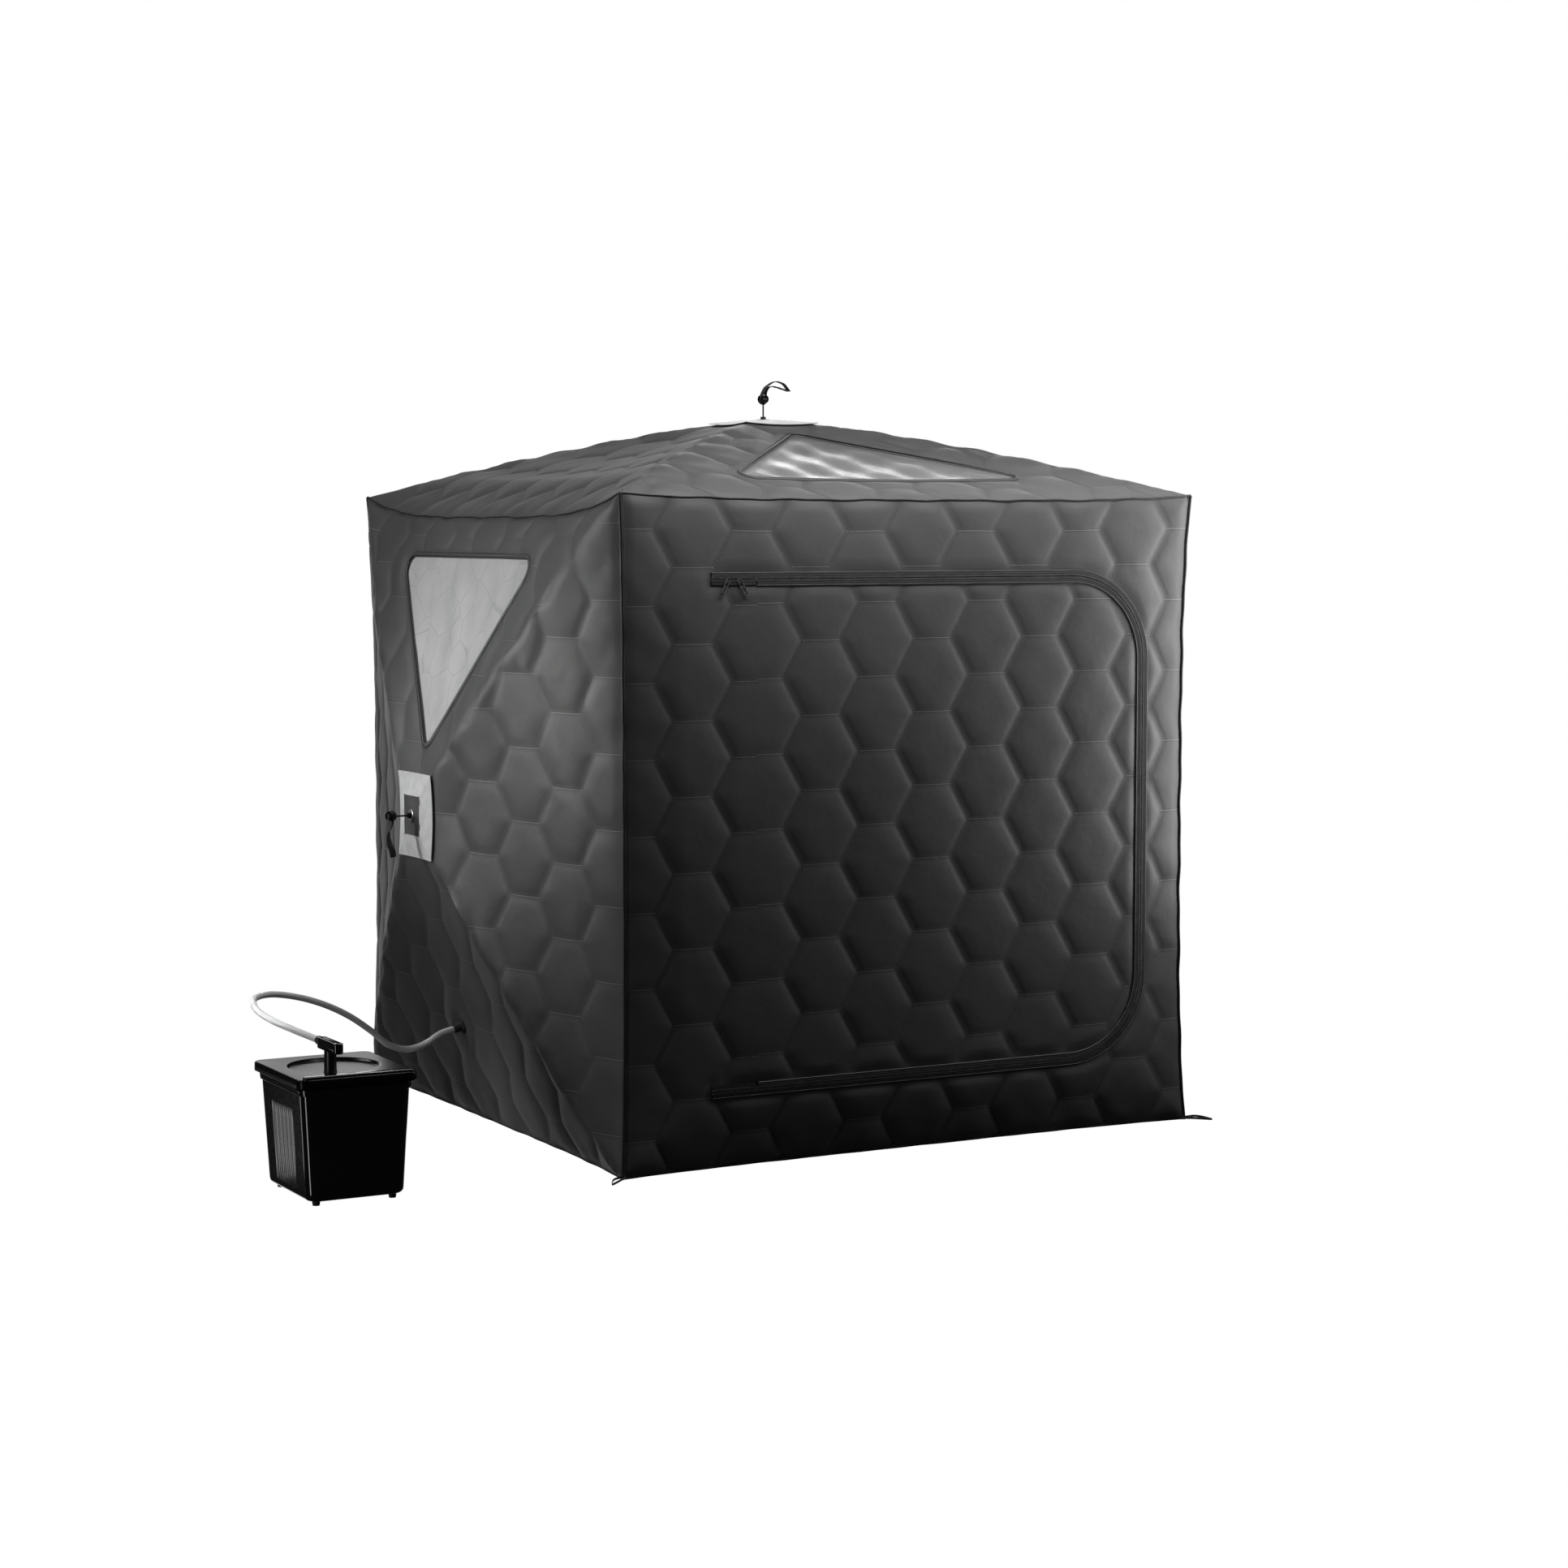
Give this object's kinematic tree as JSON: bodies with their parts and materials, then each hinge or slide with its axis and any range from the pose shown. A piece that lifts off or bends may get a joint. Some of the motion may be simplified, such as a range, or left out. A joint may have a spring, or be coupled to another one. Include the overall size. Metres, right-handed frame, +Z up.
{
  "type": "portable steam sauna",
  "caption": "Cube-shaped pop-up sauna tent of quilted fabric with pull-out hubs, zipped door and windows, and a steam generator joined to it by a hose.",
  "frame": {"origin": "middle of the tent's square footprint, on the floor", "axes": "+X right along the front, +Y towards the back, +Z up; the door is at -Y and the steam generator at -X"},
  "size_m": [2.9775, 2.1665, 2.1332],
  "materials": {
    "quilt_fabric": "satin coated polyester, hexagon quilting",
    "mat_fabric": "matte quilted",
    "window_film": "clear semi-gloss film",
    "zip_tape": "woven tape with coil",
    "zip_metal": "black lacquer",
    "patch_fabric": "light grey coated square",
    "hub_plastic": "moulded nylon",
    "bolt_metal": "black with a grey washer",
    "strap_webbing": "woven webbing",
    "pole_fibreglass": "pultruded rod",
    "socket_plastic": "moulded nylon",
    "loop_elastic": "flat elastic",
    "steamer_plastic": "high gloss black",
    "black_rubber": "matte",
    "element_steel": "brushed",
    "hose_silicone": "satin white",
    "port_plastic": "moulded"
  },
  "bodies": {
    "tent": {"front_wall": "quilt_fabric", "left_wall": "quilt_fabric", "right_wall": "quilt_fabric", "back_wall": "quilt_fabric", "roof": "quilt_fabric", "left_window": "window_film", "roof_window": "window_film", "floor_mat": "mat_fabric", "zip_tape_wall": "zip_tape", "zip_end_stops": "zip_tape", "corner_sockets": "socket_plastic", "stake_loops": "loop_elastic", "steamer_body": "steamer_plastic", "steamer_feet": "black_rubber", "lid_gasket": "black_rubber", "heating_element": "element_steel", "power_inlet": "port_plastic", "steam_hose": "hose_silicone", "hose_port": "port_plastic"},
    "door": {"door_panel": "quilt_fabric", "zip_tape_door": "zip_tape"},
    "slider_a": {"zip_slider_a": "zip_metal"},
    "slider_b": {"zip_slider_b": "zip_metal"},
    "tab_a": {"pull_tab_a": "zip_metal"},
    "tab_b": {"pull_tab_b": "zip_metal"},
    "lid": {"steamer_lid": "steamer_plastic", "steam_outlet": "steamer_plastic", "hose_coupling": "port_plastic"},
    "left_hub": {"left_hub_bracket": "hub_plastic", "left_hub_patch": "patch_fabric", "left_hub_bolt": "bolt_metal"},
    "left_strap": {"left_pull_strap": "strap_webbing"},
    "left_pole_a_body": {"left_pole_a": "pole_fibreglass"},
    "left_pole_b_body": {"left_pole_b": "pole_fibreglass"},
    "left_pole_c_body": {"left_pole_c": "pole_fibreglass"},
    "left_pole_d_body": {"left_pole_d": "pole_fibreglass"},
    "right_hub": {"right_hub_bracket": "hub_plastic", "right_hub_patch": "patch_fabric", "right_hub_bolt": "bolt_metal"},
    "right_strap": {"right_pull_strap": "strap_webbing"},
    "right_pole_a_body": {"right_pole_a": "pole_fibreglass"},
    "right_pole_b_body": {"right_pole_b": "pole_fibreglass"},
    "right_pole_c_body": {"right_pole_c": "pole_fibreglass"},
    "right_pole_d_body": {"right_pole_d": "pole_fibreglass"},
    "back_hub": {"back_hub_bracket": "hub_plastic", "back_hub_patch": "patch_fabric", "back_hub_bolt": "bolt_metal"},
    "back_strap": {"back_pull_strap": "strap_webbing"},
    "back_pole_a_body": {"back_pole_a": "pole_fibreglass"},
    "back_pole_b_body": {"back_pole_b": "pole_fibreglass"},
    "back_pole_c_body": {"back_pole_c": "pole_fibreglass"},
    "back_pole_d_body": {"back_pole_d": "pole_fibreglass"},
    "roof_hub": {"roof_hub_bracket": "hub_plastic", "roof_hub_patch": "patch_fabric", "roof_hub_bolt": "bolt_metal"},
    "roof_strap": {"roof_pull_strap": "strap_webbing"},
    "roof_pole_a_body": {"roof_pole_a": "pole_fibreglass"},
    "roof_pole_b_body": {"roof_pole_b": "pole_fibreglass"},
    "roof_pole_c_body": {"roof_pole_c": "pole_fibreglass"},
    "roof_pole_d_body": {"roof_pole_d": "pole_fibreglass"}
  },
  "joints": [
    {"name": "left_hub_push", "type": "slide", "parent": "tent", "child": "left_hub", "axis": [-1, 0, 0], "range_m": [-0.44, 0], "deforming": ["left_wall", "left_window", "left_hub_patch", "steam_hose", "hose_port"]},
    {"name": "left_strap_swing", "type": "hinge", "parent": "left_hub", "child": "left_strap", "pos_m": [-1.1875, 0, 0.9], "axis": [0, 1, 0], "range_deg": [-25, 130]},
    {"name": "left_pole_a_turn", "type": "hinge", "parent": "tent", "child": "left_pole_a_body", "pos_m": [-0.868, 0.828, 1.728], "axis": [0, 0.7071, -0.7071], "range_deg": [-22, 0]},
    {"name": "left_pole_b_turn", "type": "hinge", "parent": "tent", "child": "left_pole_b_body", "pos_m": [-0.868, -0.828, 1.728], "axis": [0, 0.7071, 0.7071], "range_deg": [-22, 0]},
    {"name": "left_pole_c_turn", "type": "hinge", "parent": "tent", "child": "left_pole_c_body", "pos_m": [-0.868, 0.828, 0.072], "axis": [0, -0.7071, -0.7071], "range_deg": [-22, 0]},
    {"name": "left_pole_d_turn", "type": "hinge", "parent": "tent", "child": "left_pole_d_body", "pos_m": [-0.868, -0.828, 0.072], "axis": [0, -0.7071, 0.7071], "range_deg": [-22, 0]},
    {"name": "right_hub_push", "type": "slide", "parent": "tent", "child": "right_hub", "axis": [1, 0, 0], "range_m": [-0.44, 0], "deforming": ["right_wall", "right_hub_patch"]},
    {"name": "right_strap_swing", "type": "hinge", "parent": "right_hub", "child": "right_strap", "pos_m": [1.1875, 0, 0.9], "axis": [0, -1, 0], "range_deg": [-25, 130]},
    {"name": "right_pole_a_turn", "type": "hinge", "parent": "tent", "child": "right_pole_a_body", "pos_m": [0.868, -0.828, 1.728], "axis": [0, -0.7071, -0.7071], "range_deg": [-22, 0]},
    {"name": "right_pole_b_turn", "type": "hinge", "parent": "tent", "child": "right_pole_b_body", "pos_m": [0.868, 0.828, 1.728], "axis": [0, -0.7071, 0.7071], "range_deg": [-22, 0]},
    {"name": "right_pole_c_turn", "type": "hinge", "parent": "tent", "child": "right_pole_c_body", "pos_m": [0.868, -0.828, 0.072], "axis": [0, 0.7071, -0.7071], "range_deg": [-22, 0]},
    {"name": "right_pole_d_turn", "type": "hinge", "parent": "tent", "child": "right_pole_d_body", "pos_m": [0.868, 0.828, 0.072], "axis": [0, 0.7071, 0.7071], "range_deg": [-22, 0]},
    {"name": "back_hub_push", "type": "slide", "parent": "tent", "child": "back_hub", "axis": [0, 1, 0], "range_m": [-0.44, 0], "deforming": ["back_wall", "back_hub_patch"]},
    {"name": "back_strap_swing", "type": "hinge", "parent": "back_hub", "child": "back_strap", "pos_m": [0, 1.1875, 0.9], "axis": [1, 0, 0], "range_deg": [-25, 130]},
    {"name": "back_pole_a_turn", "type": "hinge", "parent": "tent", "child": "back_pole_a_body", "pos_m": [0.828, 0.868, 1.728], "axis": [0.7071, 0, -0.7071], "range_deg": [-22, 0]},
    {"name": "back_pole_b_turn", "type": "hinge", "parent": "tent", "child": "back_pole_b_body", "pos_m": [-0.828, 0.868, 1.728], "axis": [0.7071, 0, 0.7071], "range_deg": [-22, 0]},
    {"name": "back_pole_c_turn", "type": "hinge", "parent": "tent", "child": "back_pole_c_body", "pos_m": [0.828, 0.868, 0.072], "axis": [-0.7071, 0, -0.7071], "range_deg": [-22, 0]},
    {"name": "back_pole_d_turn", "type": "hinge", "parent": "tent", "child": "back_pole_d_body", "pos_m": [-0.828, 0.868, 0.072], "axis": [-0.7071, 0, 0.7071], "range_deg": [-22, 0]},
    {"name": "roof_hub_push", "type": "slide", "parent": "tent", "child": "roof_hub", "axis": [0, 0, 1], "range_m": [-0.44, 0], "deforming": ["roof", "roof_window", "roof_hub_patch"]},
    {"name": "roof_strap_swing", "type": "hinge", "parent": "roof_hub", "child": "roof_strap", "pos_m": [0, 0, 2.0875], "axis": [0, -1, 0], "range_deg": [-32, 120]},
    {"name": "roof_pole_a_turn", "type": "hinge", "parent": "tent", "child": "roof_pole_a_body", "pos_m": [0.828, -0.828, 1.768], "axis": [0.7071, 0.7071, 0], "range_deg": [-22, 0]},
    {"name": "roof_pole_b_turn", "type": "hinge", "parent": "tent", "child": "roof_pole_b_body", "pos_m": [-0.828, -0.828, 1.768], "axis": [0.7071, -0.7071, 0], "range_deg": [-22, 0]},
    {"name": "roof_pole_c_turn", "type": "hinge", "parent": "tent", "child": "roof_pole_c_body", "pos_m": [0.828, 0.828, 1.768], "axis": [-0.7071, 0.7071, 0], "range_deg": [-22, 0]},
    {"name": "roof_pole_d_turn", "type": "hinge", "parent": "tent", "child": "roof_pole_d_body", "pos_m": [-0.828, 0.828, 1.768], "axis": [-0.7071, -0.7071, 0], "range_deg": [-22, 0]},
    {"name": "door_swing", "type": "hinge", "parent": "tent", "child": "door", "pos_m": [-0.5, -0.9, 0.89], "axis": [0, 0, -1], "range_deg": [0, 100]},
    {"name": "zip_a_run", "type": "slide", "parent": "tent", "child": "slider_a", "axis": [1, 0, 0], "range_m": [0, 0.4]},
    {"name": "zip_b_run", "type": "slide", "parent": "slider_a", "child": "slider_b", "axis": [1, 0, 0], "range_m": [0, 0.62]},
    {"name": "tab_a_swing", "type": "hinge", "parent": "slider_a", "child": "tab_a", "pos_m": [-0.587, -0.9024, 1.5745], "axis": [-0.8829, 0, 0.4695], "range_deg": [0, 170]},
    {"name": "tab_b_swing", "type": "hinge", "parent": "slider_b", "child": "tab_b", "pos_m": [-0.557, -0.9024, 1.5745], "axis": [-0.8829, 0, -0.4695], "range_deg": [0, 170]},
    {"name": "lid_lift", "type": "slide", "parent": "tent", "child": "lid", "axis": [0, 0, 1], "range_m": [0, 0.12], "deforming": ["steam_hose"]}
  ],
  "couplings": [
    {"joint": "left_pole_a_turn", "follows": "left_hub_push", "rad_per_m": 0.87029},
    {"joint": "left_pole_b_turn", "follows": "left_hub_push", "rad_per_m": 0.87029},
    {"joint": "left_pole_c_turn", "follows": "left_hub_push", "rad_per_m": 0.87029},
    {"joint": "left_pole_d_turn", "follows": "left_hub_push", "rad_per_m": 0.87029},
    {"joint": "right_pole_a_turn", "follows": "right_hub_push", "rad_per_m": 0.87029},
    {"joint": "right_pole_b_turn", "follows": "right_hub_push", "rad_per_m": 0.87029},
    {"joint": "right_pole_c_turn", "follows": "right_hub_push", "rad_per_m": 0.87029},
    {"joint": "right_pole_d_turn", "follows": "right_hub_push", "rad_per_m": 0.87029},
    {"joint": "back_pole_a_turn", "follows": "back_hub_push", "rad_per_m": 0.87029},
    {"joint": "back_pole_b_turn", "follows": "back_hub_push", "rad_per_m": 0.87029},
    {"joint": "back_pole_c_turn", "follows": "back_hub_push", "rad_per_m": 0.87029},
    {"joint": "back_pole_d_turn", "follows": "back_hub_push", "rad_per_m": 0.87029},
    {"joint": "roof_pole_a_turn", "follows": "roof_hub_push", "rad_per_m": 0.87029},
    {"joint": "roof_pole_b_turn", "follows": "roof_hub_push", "rad_per_m": 0.87029},
    {"joint": "roof_pole_c_turn", "follows": "roof_hub_push", "rad_per_m": 0.87029},
    {"joint": "roof_pole_d_turn", "follows": "roof_hub_push", "rad_per_m": 0.87029}
  ]
}
